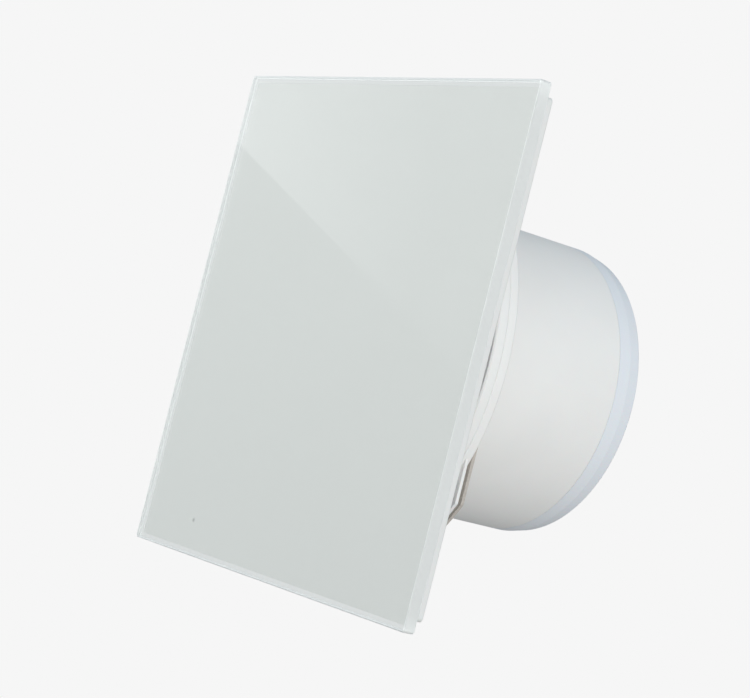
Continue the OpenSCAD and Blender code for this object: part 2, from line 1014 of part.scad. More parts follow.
// Ring in the end of the spigot with a stop ledge and two lugs for the pin
module backdraft_ring() {
    lug_w = 4.4;
    color([0.84, 0.87, 0.93])
        difference() {
            union() {
                spun()
                    polygon([
                        [ledge_r + 0.5, spigot_end - 7], [bore_r - 0.15, spigot_end - 7],
                        [bore_r - 0.05, spigot_end - 6.4], [bore_r - 0.05, spigot_end],
                        [spigot_r, spigot_end], [spigot_r, spigot_end + band_len / 2],
                        [spigot_r - 0.95, spigot_end + band_len], [ring_in + 0.2, spigot_end + band_len],
                        [ring_in, spigot_end + band_len - 0.4], [ring_in, flap_y - 0.3],
                        [ledge_r, flap_y - 0.3], [ledge_r, flap_y - 1.9], [ledge_r + 0.5, flap_y - 3]
                    ]);
                for (s = [0, 180])
                    turned(90 + s)
                        translate([lug_in, spigot_end + 2, -lug_w / 2])
                            cube([ring_in - lug_in + 0.5, 5.6, lug_w]);
            }
            translate([0, pin_y, -pin_half])
                cylinder(r = pin_r, h = 2 * pin_half);
        }
}

// Bar between the two lugs, in front of the pin
module centre_bar() {
    bar_w = 3.2;
    bar_t = 2.6;
    bar_front = spigot_end + 0.6;
    color([0.84, 0.87, 0.93])
        translate([-bar_w / 2, bar_front, -lug_in])
            cube([bar_w, bar_t, 2 * lug_in]);
}

// Hinge pin of both flaps
module flap_pin() {
    color([0.78, 0.79, 0.8])
        translate([0, pin_y, -pin_half])
            cylinder(r = pin_r, h = 2 * pin_half);
}

// Light torsion spring round the middle of the pin
module flap_spring() {
    turns = 7;
    steps = 12;
    coil_r = 1.55;
    half = 3.7;
    helix = [for (i = [0:turns * steps]) let (a = 360 * i / steps)
        [coil_r * cos(a), pin_y + coil_r * sin(a), -half + 2 * half * i / (turns * steps)]];
    color([0.7, 0.71, 0.73])
        swept(helix, 0.22, 6);
}

// Knuckles of a flap between two heights, above and below the middle
module knuckles(z0, z1) {
    for (z = [z0, -z1])
        translate([0, pin_y, z])
            cylinder(r = knuckle_r, h = z1 - z0);
}

// Half-moon flap on the side s, with knuckles from z0 to z1 on the pin
module half_flap(s, z0, z1) {
    rib_w = 1.2;
    clear = knuckle_r + 0.4;
    lug_clear = 3;
    difference() {
        union() {
            slab(flap_y, flap_y + flap_t)
                difference() {
                    intersection() {
                        circle(flap_r);
                        translate([s > 0 ? 0.3 : -flap_r, -flap_r])
                            square([flap_r - 0.3, 2 * flap_r]);
                    }
                    for (m = [-1, 1])
                        translate([-lug_clear, m > 0 ? knuckle_end + flap_gap : -flap_r])
                            square([2 * lug_clear, flap_r - knuckle_end - flap_gap]);
                    difference() {
                        square([2 * clear, 2 * knuckle_end + 2], center = true);
                        for (m = [-1, 1])
                            translate([-clear - 1, m > 0 ? z0 : -z1])
                                square([2 * clear + 2, z1 - z0]);
                    }
                }
            for (z = [-24, 24])
                translate([s > 0 ? 2.6 : -36, flap_y + flap_t - 0.1, z - rib_w / 2])
                    cube([33.4, 1.1, rib_w]);
            knuckles(z0, z1);
        }
        translate([0, pin_y, -pin_half])
            cylinder(r = pin_r + pin_fit, h = 2 * pin_half);
    }
}

// Left flap, on the outer parts of the pin
module flap_left() {
    color([0.86, 0.89, 0.94])
        half_flap(-1, knuckle_mid + flap_gap, knuckle_end);
}

// Right flap, nearer the middle of the pin
module flap_right() {
    color([0.86, 0.89, 0.94])
        half_flap(1, knuckle_in, knuckle_mid - flap_gap);
}

glass_panel();
panel_film();
fixing_tape();
panel_carrier();
inlet_ring();
ring_screws();
base_housing();
spigot_tube();
support_vanes();
motor_cup();
wall_gasket();
motor_cover();
motor_cover_screws();
stator_core();
shading_loops();
coil_bobbins();
coil_windings();
front_bearing();
rear_bearing();
terminal_block();
terminal_tubes();
terminal_screws();
terminal_cover();
cover_screw();
cable_grommet();
cable_clamp();
clamp_screws();
live_wire();
neutral_wire();
backdraft_ring();
centre_bar();
flap_pin();
flap_spring();
impeller();
motor_shaft();
rotor_core();
rotor_cage();
shaft_spacers();
hub_clip();
flap_left();
flap_right();
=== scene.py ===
# %% [markdown]
# # A bathroom extractor fan with a glass front
#
# The fan is a square glass panel on a shallow round base, with a duct spigot behind it. The CAD model
# brings every part in at its true size and place. This lesson gives each of them a finish, replaces a few
# with finer surfaces, and lights the whole for a calm studio picture.

import math

import bmesh
import bpy
import numpy as np
from mathutils import Matrix, Vector


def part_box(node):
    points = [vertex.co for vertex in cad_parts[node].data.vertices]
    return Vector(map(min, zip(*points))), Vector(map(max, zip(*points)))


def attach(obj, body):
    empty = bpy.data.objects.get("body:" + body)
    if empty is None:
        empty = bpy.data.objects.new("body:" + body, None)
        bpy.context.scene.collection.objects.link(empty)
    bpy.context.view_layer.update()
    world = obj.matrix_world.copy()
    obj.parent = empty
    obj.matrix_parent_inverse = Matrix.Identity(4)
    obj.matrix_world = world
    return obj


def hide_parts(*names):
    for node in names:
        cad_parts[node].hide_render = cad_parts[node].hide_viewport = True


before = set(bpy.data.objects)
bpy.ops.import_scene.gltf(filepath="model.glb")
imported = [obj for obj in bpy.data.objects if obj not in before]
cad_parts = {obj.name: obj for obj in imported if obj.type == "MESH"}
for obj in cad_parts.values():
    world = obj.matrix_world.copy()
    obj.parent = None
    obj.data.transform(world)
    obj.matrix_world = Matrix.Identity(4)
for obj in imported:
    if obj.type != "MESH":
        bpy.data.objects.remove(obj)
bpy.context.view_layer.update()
print("CAD parts:", len(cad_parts))

# %% [markdown]
# ## Sizes that the later cells share
#
# The glass panel and the film behind it give the front face, so their boxes are read from the CAD model.
# Working in millimetres keeps the numbers readable; one factor turns them into Blender's metres.

# %% Shared sizes
MM = 0.001
glass_low, glass_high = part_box("glass_panel")
film_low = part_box("panel_film")[0]
panel_half = glass_high.x
glass_front = glass_low.y
print("panel side", round(2 * panel_half / MM, 1), "mm, glass front at", round(glass_front / MM, 1), "mm")

# %% [markdown]
# ## Camera
#
# A long lens a little over half a metre to the right of the panel sees the glass at a slant and the spigot
# behind it. The camera is built from a place, a point it looks at and a roll, because three numbers with a
# meaning are easier to change than a rotation. It is rolled, so the upright edges lean.

# %% Camera
CAMERA_PLACE = Vector((0.62541, -0.42395, -0.03452))
CAMERA_AIM = Vector((-0.00147, -0.00204, -0.00188))
CAMERA_ROLL = math.radians(14.183)
LENS_MM = 112.22
SENSOR_MM = 36
forward = (CAMERA_AIM - CAMERA_PLACE).normalized()
level_right = forward.cross(Vector((0, 0, 1))).normalized()
level_up = level_right.cross(forward)
camera_up = math.cos(CAMERA_ROLL) * level_up - math.sin(CAMERA_ROLL) * level_right
camera_right = forward.cross(camera_up)
turn = Matrix((camera_right, camera_up, -forward)).transposed()
camera_data = bpy.data.cameras.new("camera")
camera_data.lens = LENS_MM
camera_data.sensor_width = SENSOR_MM
camera_data.clip_end = 50
camera = bpy.data.objects.new("camera", camera_data)
camera.matrix_world = Matrix.Translation(CAMERA_PLACE) @ turn.to_4x4()
bpy.context.scene.collection.objects.link(camera)
bpy.context.scene.camera = camera
bpy.context.scene.view_settings.view_transform = "Standard"
print("camera looks along", [round(v, 3) for v in forward])

# %% [markdown]
# ## Studio surroundings
#
# The backdrop is a pale even tone. The light that falls on the fan comes from a softer tone that is bluer
# above and greyer below, so that the round spigot turns from light to dark. Mixing the two by the kind of
# ray lets the backdrop stay even without washing the fan out. A flag with one straight edge stands in the
# same world: the glass mirrors that edge as a slanting line.

# %% World
BACKDROP = 0.9216
SKY_TOP = (0.48, 0.53, 0.57, 1)
SKY_BOTTOM = (0.33, 0.335, 0.335, 1)
FLAG_FIRST = Vector((-0.8641, -0.4907, 0.112))
FLAG_SECOND = Vector((-0.8203, -0.569, 0.0573))
flag_normal = FLAG_FIRST.cross(FLAG_SECOND).normalized()
if flag_normal.z < 0:
    flag_normal = -flag_normal
world = bpy.data.worlds.new("studio")
bpy.context.scene.world = world
world.use_nodes = True
nodes = world.node_tree.nodes
links = world.node_tree.links
nodes.clear()
sky_frame = nodes.new("NodeFrame")
sky_frame.label = "Light from all round"
flag_frame = nodes.new("NodeFrame")
flag_frame.label = "Straight edge mirrored by the glass"
ray_frame = nodes.new("NodeFrame")
ray_frame.label = "Backdrop or light"
direction = nodes.new("ShaderNodeTexCoord")
direction.label = "Direction of the ray"
split = nodes.new("ShaderNodeSeparateXYZ")
split.label = "Height in the sky"
height = nodes.new("ShaderNodeMapRange")
height.label = "Floor to ceiling"
sky = nodes.new("ShaderNodeMix")
sky.label = "Grey floor to blue ceiling"
side = nodes.new("ShaderNodeVectorMath")
side.label = "Distance from the edge"
edge = nodes.new("ShaderNodeMapRange")
edge.label = "Sharp edge of the softbox"
fade = nodes.new("ShaderNodeMapRange")
fade.label = "Fades towards the right"
softbox = nodes.new("ShaderNodeMath")
softbox.label = "Softbox brightness"
lit = nodes.new("ShaderNodeMix")
lit.label = "Sky and softbox"
rays = nodes.new("ShaderNodeLightPath")
rays.label = "Kind of ray"
first_hit = nodes.new("ShaderNodeMath")
first_hit.label = "Not yet scattered"
through = nodes.new("ShaderNodeMath")
through.label = "Seen through glass"
dimmed = nodes.new("ShaderNodeMath")
dimmed.label = "Glass dims the backdrop"
seen = nodes.new("ShaderNodeMath")
seen.label = "Seen as backdrop"
glossy = nodes.new("ShaderNodeMath")
glossy.label = "Softbox only in mirrors"
light = nodes.new("ShaderNodeBackground")
light.label = "Studio light"
backdrop = nodes.new("ShaderNodeBackground")
backdrop.label = "Pale backdrop"
choose = nodes.new("ShaderNodeMixShader")
choose.label = "Backdrop for the eye"
output = nodes.new("ShaderNodeOutputWorld")
for node in (split, height, sky):
    node.parent = sky_frame
for node in (side, edge, fade, softbox, glossy, lit):
    node.parent = flag_frame
for node in (rays, first_hit, through, dimmed, seen, choose):
    node.parent = ray_frame
column = 0
for node in (direction, split, height, sky, side, edge, fade, softbox, glossy, lit, rays, first_hit,
             through, dimmed, seen, light, backdrop, choose, output):
    node.location = (200 * column, -120 * (column % 3))
    column += 1
height.inputs["From Min"].default_value = -0.8
height.inputs["From Max"].default_value = 0.9
sky.data_type = "RGBA"
sky.inputs[6].default_value = SKY_BOTTOM
sky.inputs[7].default_value = SKY_TOP
side.operation = "DOT_PRODUCT"
side.inputs[1].default_value = flag_normal
edge.inputs["From Min"].default_value = -0.0006
edge.inputs["From Max"].default_value = 0.0006
fade.inputs["From Min"].default_value = -0.866
fade.inputs["From Max"].default_value = -0.822
fade.inputs["To Min"].default_value = 0.62
fade.inputs["To Max"].default_value = 0.1
softbox.operation = "MULTIPLY"
glossy.operation = "MULTIPLY"
lit.data_type = "RGBA"
lit.blend_type = "ADD"
lit.inputs[7].default_value = (1, 1, 1, 1)
first_hit.operation = "LESS_THAN"
first_hit.inputs[1].default_value = 0.5
through.operation = "MULTIPLY"
dimmed.operation = "MULTIPLY"
dimmed.inputs[1].default_value = 0.7
seen.operation = "MAXIMUM"
backdrop.inputs["Color"].default_value = (BACKDROP, BACKDROP, BACKDROP, 1)
links.new(direction.outputs["Generated"], split.inputs["Vector"])
links.new(split.outputs["Z"], height.inputs["Value"])
links.new(height.outputs["Result"], sky.inputs[0])
links.new(direction.outputs["Generated"], side.inputs[0])
links.new(side.outputs["Value"], edge.inputs["Value"])
links.new(split.outputs["X"], fade.inputs["Value"])
links.new(edge.outputs["Result"], softbox.inputs[0])
links.new(fade.outputs["Result"], softbox.inputs[1])
links.new(softbox.outputs["Value"], glossy.inputs[0])
links.new(rays.outputs["Is Glossy Ray"], glossy.inputs[1])
links.new(glossy.outputs["Value"], lit.inputs[0])
links.new(sky.outputs[2], lit.inputs[6])
links.new(rays.outputs["Diffuse Depth"], first_hit.inputs[0])
links.new(rays.outputs["Is Transmission Ray"], through.inputs[0])
links.new(first_hit.outputs["Value"], through.inputs[1])
links.new(rays.outputs["Is Camera Ray"], seen.inputs[0])
links.new(through.outputs["Value"], dimmed.inputs[0])
links.new(dimmed.outputs["Value"], seen.inputs[1])
links.new(lit.outputs[2], light.inputs["Color"])
links.new(seen.outputs["Value"], choose.inputs["Fac"])
links.new(light.outputs["Background"], choose.inputs[1])
links.new(backdrop.outputs["Background"], choose.inputs[2])
links.new(choose.outputs["Shader"], output.inputs["Surface"])
print("world light runs from", SKY_BOTTOM[:3], "to", SKY_TOP[:3])

# %% [markdown]
# ## Main lamp
#
# One large square lamp stands to the right of the camera and a little behind it. Its size makes the light
# soft, and its place puts the brightest line of the spigot on the side that faces the viewer.

# %% Lamp
LAMP_PLACE = Vector((1.4, -0.35, -0.02))
LAMP_AIM = Vector((0, 0.02, 0))
lamp_data = bpy.data.lights.new("main_lamp", "AREA")
lamp_data.shape = "SQUARE"
lamp_data.size = 0.8
lamp_data.energy = 11.4
lamp_data.color = (1, 0.985, 0.96)
lamp = bpy.data.objects.new("main_lamp", lamp_data)
lamp.location = LAMP_PLACE
lamp.rotation_euler = (LAMP_AIM - LAMP_PLACE).to_track_quat("-Z", "Y").to_euler()
lamp.visible_camera = False
bpy.context.scene.collection.objects.link(lamp)
print("lamp is", round((LAMP_PLACE - LAMP_AIM).length, 2), "m away")

# %% [markdown]
# ## Fill lamp
#
# The panel turns its face away from the main lamp. A second large lamp in front of it, high and to the
# left, lights the glass alone, because the panel itself keeps that light off the spigot. It is close
# enough for the upper left of the face to come out a little lighter than the lower right.

# %% Fill lamp
FILL_PLACE = Vector((-0.45, -0.75, 0.3))
FILL_AIM = Vector((0, glass_front, 0))
fill_data = bpy.data.lights.new("fill_lamp", "AREA")
fill_data.shape = "SQUARE"
fill_data.size = 0.5
fill_data.energy = 3.6
fill_data.color = (0.98, 1, 0.99)
fill = bpy.data.objects.new("fill_lamp", fill_data)
fill.location = FILL_PLACE
fill.rotation_euler = (FILL_AIM - FILL_PLACE).to_track_quat("-Z", "Y").to_euler()
fill.visible_camera = False
bpy.context.scene.collection.objects.link(fill)
print("fill lamp is", round((FILL_PLACE - FILL_AIM).length, 2), "m away")

# %% [markdown]
# ## Floor
#
# The fan hangs on a wall in use and stands free in a studio picture. A large pale floor far below it keeps
# the ground plain. It glows with the tone of the backdrop, so no horizon line crosses the picture.

# %% Floor
FLOOR_HALF = 6
FLOOR_HEIGHT = -0.6
floor_mesh = bpy.data.meshes.new("floor")
corners = np.array([[-1, -1, 0], [1, -1, 0], [1, 1, 0], [-1, 1, 0]]) * FLOOR_HALF + [0, 0, FLOOR_HEIGHT]
floor_mesh.from_pydata(corners.tolist(), [], [(0, 1, 2, 3)])
floor = bpy.data.objects.new("floor", floor_mesh)
bpy.context.scene.collection.objects.link(floor)
floor.visible_diffuse = False
floor.visible_glossy = False
floor.visible_transmission = False
floor.visible_shadow = False
floor_paint = bpy.data.materials.new("floor_tone")
floor_paint.use_nodes = True
nodes = floor_paint.node_tree.nodes
links = floor_paint.node_tree.links
nodes.clear()
glow = nodes.new("ShaderNodeEmission")
glow.label = "Tone of the backdrop"
glow.location = (0, 0)
glow.inputs["Color"].default_value = (BACKDROP, BACKDROP, BACKDROP, 1)
result = nodes.new("ShaderNodeOutputMaterial")
result.location = (200, 0)
links.new(glow.outputs["Emission"], result.inputs["Surface"])
floor_mesh.materials.append(floor_paint)
print("floor lies at z =", FLOOR_HEIGHT)

# %% [markdown]
# ## Finish: moulded plastic
#
# Most of the fan is injection moulded. Such plastic has pigment that is never quite even, a fine grain from
# the tool, faint flow waves, and edges that are slightly round and polished by handling. A painted texture
# would need unwrapping, so the finish is worked out from the place on the part instead.
# The Bevel node rounds edges for the light only, and comparing its normal with the true one finds the edges.


# %% Moulded plastic
def moulded_plastic(name, colour, roughness, grain=0.25, edge=0.35, through=0.0, mottle=0.03):
    """Colour = base × (1 ± mottle × slow noise), blended on edges; bump = tool grain + flow waves."""
    material = bpy.data.materials.new(name)
    material.use_nodes = True
    nodes = material.node_tree.nodes
    links = material.node_tree.links
    nodes.clear()
    pigment_frame = nodes.new("NodeFrame")
    pigment_frame.label = "Pigment and wear"
    surface_frame = nodes.new("NodeFrame")
    surface_frame.label = "Grain and flow"
    edge_frame = nodes.new("NodeFrame")
    edge_frame.label = "Soft moulded edges"
    place = nodes.new("ShaderNodeTexCoord")
    place.label = "Place on the part"
    cloud = nodes.new("ShaderNodeTexNoise")
    cloud.label = "Uneven pigment"
    speck = nodes.new("ShaderNodeTexNoise")
    speck.label = "Fine dust and rub marks"
    shade = nodes.new("ShaderNodeMapRange")
    shade.label = "How much the shade varies"
    pigment = nodes.new("ShaderNodeMix")
    pigment.label = "Darker to lighter pigment"
    worn = nodes.new("ShaderNodeMix")
    worn.label = "Rubbed edges are lighter"
    grain_noise = nodes.new("ShaderNodeTexNoise")
    grain_noise.label = "Grain of the mould"
    flow = nodes.new("ShaderNodeTexNoise")
    flow.label = "Flow waves"
    relief = nodes.new("ShaderNodeMix")
    relief.label = "Grain over waves"
    bump = nodes.new("ShaderNodeBump")
    bump.label = "Surface relief"
    soft = nodes.new("ShaderNodeBevel")
    soft.label = "Rounded edge"
    true_normal = nodes.new("ShaderNodeNewGeometry")
    true_normal.label = "Sharp edge"
    compare = nodes.new("ShaderNodeVectorMath")
    compare.label = "Rounded against sharp"
    rim = nodes.new("ShaderNodeMapRange")
    rim.label = "Where an edge is"
    gloss = nodes.new("ShaderNodeMapRange")
    gloss.label = "Gloss follows the rub marks"
    shader = nodes.new("ShaderNodeBsdfPrincipled")
    shader.label = "Plastic"
    result = nodes.new("ShaderNodeOutputMaterial")
    for node in (cloud, speck, shade, pigment, worn, gloss):
        node.parent = pigment_frame
    for node in (grain_noise, flow, relief, bump):
        node.parent = surface_frame
    for node in (soft, true_normal, compare, rim):
        node.parent = edge_frame
    column = 0
    for node in (place, cloud, speck, shade, pigment, worn, gloss, grain_noise, flow, relief, soft,
                 true_normal, compare, rim, bump, shader, result):
        node.location = (190 * column, -150 * (column % 3))
        column += 1
    cloud.inputs["Scale"].default_value = 26
    cloud.inputs["Detail"].default_value = 3
    speck.inputs["Scale"].default_value = 420
    speck.inputs["Detail"].default_value = 4
    shade.inputs["From Min"].default_value = 0.3
    shade.inputs["From Max"].default_value = 0.7
    pigment.data_type = "RGBA"
    pigment.inputs[6].default_value = (*[c * (1 - mottle) for c in colour], 1)
    pigment.inputs[7].default_value = (*[min(1, c * (1 + 0.5 * mottle)) for c in colour], 1)
    worn.data_type = "RGBA"
    worn.inputs[7].default_value = (*[min(1, c * 0.7 + 0.3 * edge + 0.1) for c in colour], 1)
    grain_noise.inputs["Scale"].default_value = 1700
    grain_noise.inputs["Detail"].default_value = 2
    flow.inputs["Scale"].default_value = 60
    relief.data_type = "FLOAT"
    relief.inputs[0].default_value = 0.4
    bump.inputs["Strength"].default_value = grain
    bump.inputs["Distance"].default_value = 0.00004
    soft.samples = 4
    soft.inputs["Radius"].default_value = 0.00035
    compare.operation = "DOT_PRODUCT"
    rim.inputs["From Min"].default_value = 0.97
    rim.inputs["From Max"].default_value = 0.8
    rim.inputs["To Max"].default_value = edge
    gloss.inputs["From Min"].default_value = 0.35
    gloss.inputs["From Max"].default_value = 0.65
    gloss.inputs["To Min"].default_value = roughness * 0.88
    gloss.inputs["To Max"].default_value = min(1, roughness * 1.14)
    shader.inputs["Subsurface Weight"].default_value = through
    shader.inputs["Subsurface Scale"].default_value = 0.002
    shader.inputs["IOR"].default_value = 1.49
    links.new(place.outputs["Object"], cloud.inputs["Vector"])
    links.new(place.outputs["Object"], speck.inputs["Vector"])
    links.new(place.outputs["Object"], grain_noise.inputs["Vector"])
    links.new(place.outputs["Object"], flow.inputs["Vector"])
    links.new(cloud.outputs["Fac"], shade.inputs["Value"])
    links.new(shade.outputs["Result"], pigment.inputs[0])
    links.new(pigment.outputs[2], worn.inputs[6])
    links.new(soft.outputs["Normal"], compare.inputs[0])
    links.new(true_normal.outputs["Normal"], compare.inputs[1])
    links.new(compare.outputs["Value"], rim.inputs["Value"])
    links.new(rim.outputs["Result"], worn.inputs[0])
    links.new(worn.outputs[2], shader.inputs["Base Color"])
    links.new(speck.outputs["Fac"], gloss.inputs["Value"])
    links.new(gloss.outputs["Result"], shader.inputs["Roughness"])
    links.new(flow.outputs["Fac"], relief.inputs[2])
    links.new(grain_noise.outputs["Fac"], relief.inputs[3])
    links.new(relief.outputs[0], bump.inputs["Height"])
    links.new(soft.outputs["Normal"], bump.inputs["Normal"])
    links.new(bump.outputs["Normal"], shader.inputs["Normal"])
    links.new(shader.outputs["BSDF"], result.inputs["Surface"])
    return material


def finish(material, *names):
    """Puts one material on every named CAD part."""
    for name in names:
        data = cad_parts[name].data
        data.materials.clear()
        data.materials.append(material)
    print(material.name, "on", ", ".join(names))


# %% [markdown]
# The visible mouldings are white and satin. The grommet, the wire sleeves and the natural nylon of the
# bobbins come from the same recipe, with other colours and gloss.

# %% Plastics of this fan
white_plastic = moulded_plastic("white_plastic", (0.88, 0.88, 0.87), 0.42, through=0.04)
finish(white_plastic, "inlet_ring", "base_housing", "spigot_tube")
finish(white_plastic, "support_vanes", "motor_cup", "terminal_cover")
carrier_plastic = moulded_plastic("carrier_plastic", (0.78, 0.79, 0.785), 0.46, through=0.03)
finish(carrier_plastic, "panel_carrier")
shutter_plastic = moulded_plastic("shutter_plastic", (0.8, 0.84, 0.89), 0.34, grain=0.06, edge=0.12,
                                  through=0.04, mottle=0.015)
finish(shutter_plastic, "backdraft_ring", "centre_bar", "flap_left", "flap_right")
grey_plastic = moulded_plastic("grey_plastic", (0.66, 0.66, 0.65), 0.5, grain=0.5)
finish(grey_plastic, "motor_cover", "cable_clamp")
impeller_plastic = moulded_plastic("impeller_plastic", (0.84, 0.85, 0.87), 0.36, through=0.05)
nylon = moulded_plastic("nylon", (0.74, 0.7, 0.6), 0.48, grain=0.4, through=0.1, mottle=0.06)
finish(nylon, "coil_bobbins", "terminal_block")
grommet_rubber = moulded_plastic("grommet_rubber", (0.03, 0.03, 0.033), 0.7, grain=0.7, edge=0.05)
finish(grommet_rubber, "cable_grommet")
wire_brown = moulded_plastic("wire_brown", (0.17, 0.07, 0.03), 0.4, edge=0.05, mottle=0.1)
finish(wire_brown, "live_wire")
wire_blue = moulded_plastic("wire_blue", (0.03, 0.12, 0.45), 0.4, edge=0.05, mottle=0.1)
finish(wire_blue, "neutral_wire")

# %% [markdown]
# ## Finish: metal
#
# Screws, shaft, bearings and brass tubes are turned or plated metal. Turning leaves fine rings round the
# axis, plating leaves a cloudy sheen, and both collect a little dullness. The rings are bands that follow
# each other along the duct axis; a die casting hardly has any.


# %% Metal
def worked_metal(name, colour, roughness, lines=0.3, fineness=900):
    """Bump = waves along the duct × lines; roughness = base × (1 ± noise); colour dulls with the noise."""
    material = bpy.data.materials.new(name)
    material.use_nodes = True
    nodes = material.node_tree.nodes
    links = material.node_tree.links
    nodes.clear()
    tarnish_frame = nodes.new("NodeFrame")
    tarnish_frame.label = "Tarnish"
    tool_frame = nodes.new("NodeFrame")
    tool_frame.label = "Tool marks"
    place = nodes.new("ShaderNodeTexCoord")
    place.label = "Place on the part"
    cloud = nodes.new("ShaderNodeTexNoise")
    cloud.label = "Cloudy plating"
    tone = nodes.new("ShaderNodeMix")
    tone.label = "Bright to dull"
    dull = nodes.new("ShaderNodeMapRange")
    dull.label = "Dull spots are rougher"
    marks = nodes.new("ShaderNodeTexWave")
    marks.label = "Fine tool lines"
    soft = nodes.new("ShaderNodeBevel")
    soft.label = "Broken edges"
    bump = nodes.new("ShaderNodeBump")
    bump.label = "Depth of the lines"
    shader = nodes.new("ShaderNodeBsdfPrincipled")
    shader.label = "Metal"
    result = nodes.new("ShaderNodeOutputMaterial")
    for node in (cloud, tone, dull):
        node.parent = tarnish_frame
    for node in (marks, soft, bump):
        node.parent = tool_frame
    column = 0
    for node in (place, cloud, tone, dull, marks, soft, bump, shader, result):
        node.location = (190 * column, -150 * (column % 3))
        column += 1
    cloud.inputs["Scale"].default_value = 300
    cloud.inputs["Detail"].default_value = 4
    tone.data_type = "RGBA"
    tone.inputs[6].default_value = (*[c * 0.82 for c in colour], 1)
    tone.inputs[7].default_value = (*colour, 1)
    dull.inputs["To Min"].default_value = min(1, roughness * 1.4)
    dull.inputs["To Max"].default_value = roughness * 0.75
    marks.wave_type = "BANDS"
    marks.bands_direction = "Y"
    marks.inputs["Scale"].default_value = fineness
    marks.inputs["Distortion"].default_value = 0.6
    soft.samples = 4
    soft.inputs["Radius"].default_value = 0.00012
    bump.inputs["Strength"].default_value = lines
    bump.inputs["Distance"].default_value = 0.00003
    shader.inputs["Metallic"].default_value = 1
    links.new(place.outputs["Object"], cloud.inputs["Vector"])
    links.new(place.outputs["Object"], marks.inputs["Vector"])
    links.new(cloud.outputs["Fac"], tone.inputs[0])
    links.new(cloud.outputs["Fac"], dull.inputs["Value"])
    links.new(tone.outputs[2], shader.inputs["Base Color"])
    links.new(dull.outputs["Result"], shader.inputs["Roughness"])
    links.new(marks.outputs["Fac"], bump.inputs["Height"])
    links.new(soft.outputs["Normal"], bump.inputs["Normal"])
    links.new(bump.outputs["Normal"], shader.inputs["Normal"])
    links.new(shader.outputs["BSDF"], result.inputs["Surface"])
    return material


# %% [markdown]
# Laminations are sheet steel 0.5 mm thick, stacked along the axis, so their lines are coarse and deep. The
# windings are turns of copper under clear enamel, and their lines are the turns themselves.

# %% Metals of this fan
screw_zinc = worked_metal("screw_zinc", (0.74, 0.76, 0.79), 0.3)
finish(screw_zinc, "ring_screws", "motor_cover_screws", "cover_screw", "clamp_screws", "terminal_screws")
bright_steel = worked_metal("bright_steel", (0.72, 0.73, 0.75), 0.18)
finish(bright_steel, "front_bearing", "rear_bearing", "motor_shaft", "flap_pin", "flap_spring", "hub_clip")
lamination_steel = worked_metal("lamination_steel", (0.3, 0.31, 0.33), 0.42, lines=1, fineness=310)
finish(lamination_steel, "stator_core", "rotor_core")
cast_aluminium = worked_metal("cast_aluminium", (0.7, 0.71, 0.72), 0.5, lines=0.1)
finish(cast_aluminium, "rotor_cage")
copper_loop = worked_metal("copper_loop", (0.78, 0.38, 0.22), 0.34)
finish(copper_loop, "shading_loops")
enamelled_copper = worked_metal("enamelled_copper", (0.58, 0.2, 0.07), 0.3, lines=1, fineness=520)
finish(enamelled_copper, "coil_windings")
brass_part = worked_metal("brass_part", (0.8, 0.58, 0.24), 0.28)
finish(brass_part, "terminal_tubes", "shaft_spacers")

# %% [markdown]
# ## Finish: foam
#
# The gasket between base and wall is closed cell foam, and the tape behind the film is a finer one. Foam
# shows small round cells, so a cell pattern drives the relief, and it also darkens the colour towards each
# cell centre as painted shade in the pits.


# %% Foam
def closed_cell_foam(name, colour, cell_mm, depth):
    """Height = distance to the nearest cell centre, so the walls between cells catch the light; the colour
    is darker towards the centres as painted shade in the pits.
    """
    material = bpy.data.materials.new(name)
    material.use_nodes = True
    nodes = material.node_tree.nodes
    links = material.node_tree.links
    nodes.clear()
    cell_frame = nodes.new("NodeFrame")
    cell_frame.label = "Cells"
    place = nodes.new("ShaderNodeTexCoord")
    place.label = "Place on the part"
    cells = nodes.new("ShaderNodeTexVoronoi")
    cells.label = "Cells of the foam"
    cloud = nodes.new("ShaderNodeTexNoise")
    cloud.label = "Uneven rise"
    inner = nodes.new("ShaderNodeMix")
    inner.label = "Painted shade in the cell pits"
    tone = nodes.new("ShaderNodeMix")
    tone.label = "Uneven colour"
    bump = nodes.new("ShaderNodeBump")
    bump.label = "Open skin"
    shader = nodes.new("ShaderNodeBsdfPrincipled")
    shader.label = "Foam"
    result = nodes.new("ShaderNodeOutputMaterial")
    for node in (cells, inner, bump):
        node.parent = cell_frame
    column = 0
    for node in (place, cells, cloud, inner, tone, bump, shader, result):
        node.location = (190 * column, -150 * (column % 3))
        column += 1
    cells.inputs["Scale"].default_value = 1000 / cell_mm
    cloud.inputs["Scale"].default_value = 60
    # Painted shade: the pits of the cells are coloured at 0.72 of the foam colour, the walls at the full
    # colour.
    inner.data_type = "RGBA"
    inner.inputs[6].default_value = (*[c * 0.72 for c in colour], 1)
    inner.inputs[7].default_value = (*colour, 1)
    tone.data_type = "RGBA"
    tone.blend_type = "MULTIPLY"
    tone.inputs[0].default_value = 0.35
    bump.inputs["Strength"].default_value = 0.7
    bump.inputs["Distance"].default_value = depth * MM
    shader.inputs["Roughness"].default_value = 0.85
    links.new(place.outputs["Object"], cells.inputs["Vector"])
    links.new(place.outputs["Object"], cloud.inputs["Vector"])
    links.new(cells.outputs["Distance"], inner.inputs[0])
    links.new(inner.outputs[2], tone.inputs[6])
    links.new(cloud.outputs["Fac"], tone.inputs[7])
    links.new(tone.outputs[2], shader.inputs["Base Color"])
    links.new(cells.outputs["Distance"], bump.inputs["Height"])
    links.new(bump.outputs["Normal"], shader.inputs["Normal"])
    links.new(shader.outputs["BSDF"], result.inputs["Surface"])
    return material


gasket_foam = closed_cell_foam("gasket_foam", (0.68, 0.63, 0.575), 0.5, 0.08)
finish(gasket_foam, "wall_gasket")
foam_tape = closed_cell_foam("foam_tape", (0.9, 0.9, 0.88), 0.3, 0.05)
finish(foam_tape, "fixing_tape")
